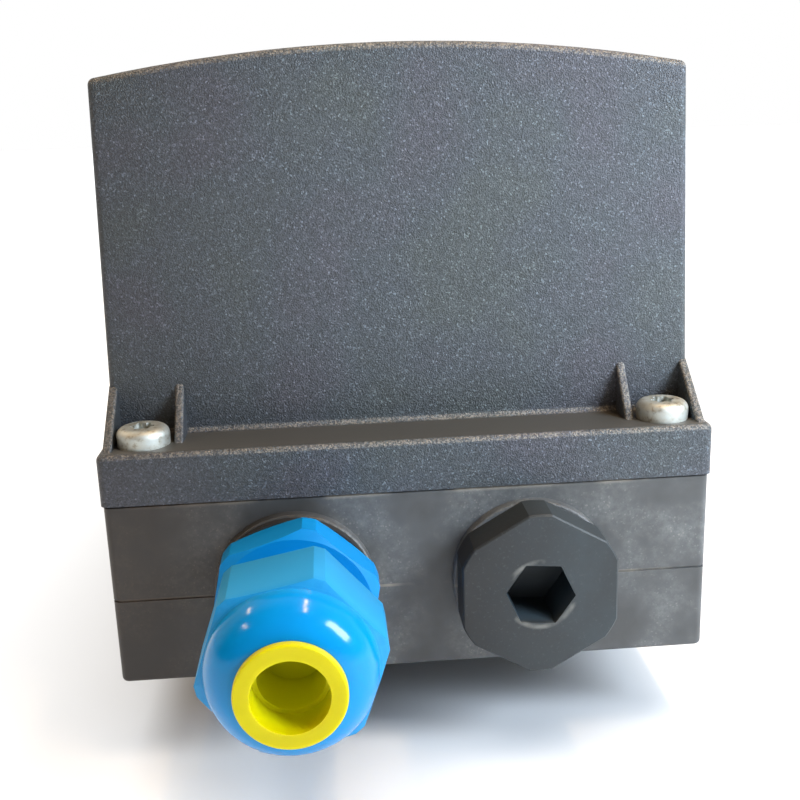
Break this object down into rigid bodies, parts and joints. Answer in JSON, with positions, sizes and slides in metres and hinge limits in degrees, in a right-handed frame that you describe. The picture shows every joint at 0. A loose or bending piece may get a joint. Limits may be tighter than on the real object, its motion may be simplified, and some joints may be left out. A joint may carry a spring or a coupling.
{
  "type": "valve positioner",
  "caption": "Electropneumatic valve positioner: moulded case with crowned cover, cable gland, blanking plug, feedback shaft with gear train, keys and pneumatic ports.",
  "frame": {"origin": "where the feedback shaft's axis crosses the mounting face, at the centre of the rear mounting holes", "axes": "+Z out of the crowned front with the display, -Z out of the mounting face, -Y out of the end with the cable entries, +X out of the side with the air ports"},
  "size_m": [0.1003, 0.1919, 0.1114],
  "materials": {
    "cover_plastic": "fine-grained moulded plastic, dark blue-grey",
    "base_plastic": "smooth moulded glass-filled plastic, dark grey",
    "gasket_rubber": "black sealing rubber",
    "zinc_steel": "zinc-plated steel, pale",
    "window_clear": "clear polycarbonate",
    "key_rubber": "soft grey key caps",
    "brass": "turned brass",
    "stainless": "turned stainless steel",
    "bearing_plastic": "natural acetal",
    "spring_steel": "spring steel",
    "wheel_yellow": "yellow acetal",
    "aluminium": "clear anodised die-cast aluminium",
    "pot_plastic": "dark blue moulded plastic",
    "block_plastic": "black glass-filled plastic",
    "sintered": "sintered bronze",
    "silencer_plastic": "porous sintered plastic, off-white",
    "carrier_plastic": "light grey moulded plastic",
    "board_green": "green solder resist",
    "lcd_glass": "grey-green liquid crystal glass",
    "terminal_green": "green terminal plastic",
    "chip_black": "epoxy moulding compound",
    "gland_blue": "glossy blue polyamide",
    "dust_yellow": "yellow soft polyethylene",
    "plug_black": "black polyamide"
  },
  "bodies": {
    "housing": {"housing_base": "base_plastic", "housing_cover": "cover_plastic", "cover_gasket": "gasket_rubber", "cover_screws": "zinc_steel", "display_window": "window_clear", "window_gasket": "gasket_rubber", "mounting_inserts": "brass", "shaft_bush": "bearing_plastic", "shaft_seal": "gasket_rubber", "potentiometer": "pot_plastic", "potentiometer_bracket": "stainless", "bracket_screws": "zinc_steel", "port_block": "aluminium", "port_rings": "gasket_rubber", "inlet_strainer": "sintered", "block_gasket": "gasket_rubber", "valve_block": "block_plastic", "block_screws": "zinc_steel", "pilot_valve": "pot_plastic", "exhaust_silencer": "silencer_plastic", "electronics_carrier": "carrier_plastic", "carrier_screws": "zinc_steel", "main_board": "board_green", "board_screws": "zinc_steel", "display_module": "chip_black", "lcd_panel": "lcd_glass", "key_switches": "chip_black", "terminal_block": "terminal_green", "terminal_screws": "zinc_steel", "board_chips": "chip_black", "gland_gasket": "gasket_rubber", "gland_body": "gland_blue", "blanking_plug": "plug_black", "plug_ring": "gasket_rubber"},
    "feedback_shaft": {"feedback_shaft": "stainless", "shaft_clip": "spring_steel", "clutch_hub": "brass", "drive_gear": "bearing_plastic", "clutch_spring": "spring_steel", "adjusting_wheel": "wheel_yellow"},
    "potentiometer_pinion": {"potentiometer_spindle": "stainless", "pinion_gear": "bearing_plastic"},
    "key_mode": {"key_mode": "key_rubber"},
    "key_down": {"key_down": "key_rubber"},
    "key_up": {"key_up": "key_rubber"},
    "gland_seal": {"gland_seal": "gasket_rubber"},
    "gland_nut": {"gland_nut": "gland_blue"},
    "dust_plug": {"dust_plug": "dust_yellow"},
    "restrictor_y1": {"restrictor_y1": "brass"},
    "restrictor_y2": {"restrictor_y2": "brass"},
    "purge_selector": {"purge_selector": "wheel_yellow"}
  },
  "joints": [
    {"name": "shaft_turn", "type": "hinge", "parent": "housing", "child": "feedback_shaft", "pos_m": [0, 0, 0], "axis": [0, 0, 1], "range_deg": [-50, 50]},
    {"name": "pinion_turn", "type": "hinge", "parent": "housing", "child": "potentiometer_pinion", "pos_m": [-0.032, 0, 0.017], "axis": [0, 0, 1], "range_deg": [-151, 151]},
    {"name": "key_mode_press", "type": "slide", "parent": "housing", "child": "key_mode", "axis": [0, 0, -1], "range_m": [0, 0.0008], "stiffness_N_per_m": 2000},
    {"name": "key_down_press", "type": "slide", "parent": "housing", "child": "key_down", "axis": [0, 0, -1], "range_m": [0, 0.0008], "stiffness_N_per_m": 2000},
    {"name": "key_up_press", "type": "slide", "parent": "housing", "child": "key_up", "axis": [0, 0, -1], "range_m": [0, 0.0008], "stiffness_N_per_m": 2000},
    {"name": "gland_feed", "type": "slide", "parent": "housing", "child": "gland_seal", "axis": [0, 1, 0], "range_m": [-0.00301, 0.00301]},
    {"name": "gland_nut_turn", "type": "hinge", "parent": "gland_seal", "child": "gland_nut", "pos_m": [-0.01875, -0.1, 0.015], "axis": [0, 1, 0], "range_deg": [-720, 720]},
    {"name": "dust_plug_pull", "type": "slide", "parent": "gland_seal", "child": "dust_plug", "axis": [0, -1, 0], "range_m": [0, 0.03]},
    {"name": "restrictor_y1_turn", "type": "hinge", "parent": "housing", "child": "restrictor_y1", "pos_m": [0.0475, -0.015, 0.015], "axis": [1, 0, 0], "range_deg": [-720, 0]},
    {"name": "restrictor_y2_turn", "type": "hinge", "parent": "housing", "child": "restrictor_y2", "pos_m": [0.0475, 0.015, 0.015], "axis": [1, 0, 0], "range_deg": [-720, 0]},
    {"name": "purge_selector_slide", "type": "slide", "parent": "housing", "child": "purge_selector", "axis": [1, 0, 0], "range_m": [0, 0.005]}
  ],
  "couplings": [
    {"joint": "pinion_turn", "follows": "shaft_turn", "ratio": -3},
    {"joint": "gland_feed", "follows": "gland_nut_turn", "m_per_rad": 0.00023873}
  ]
}
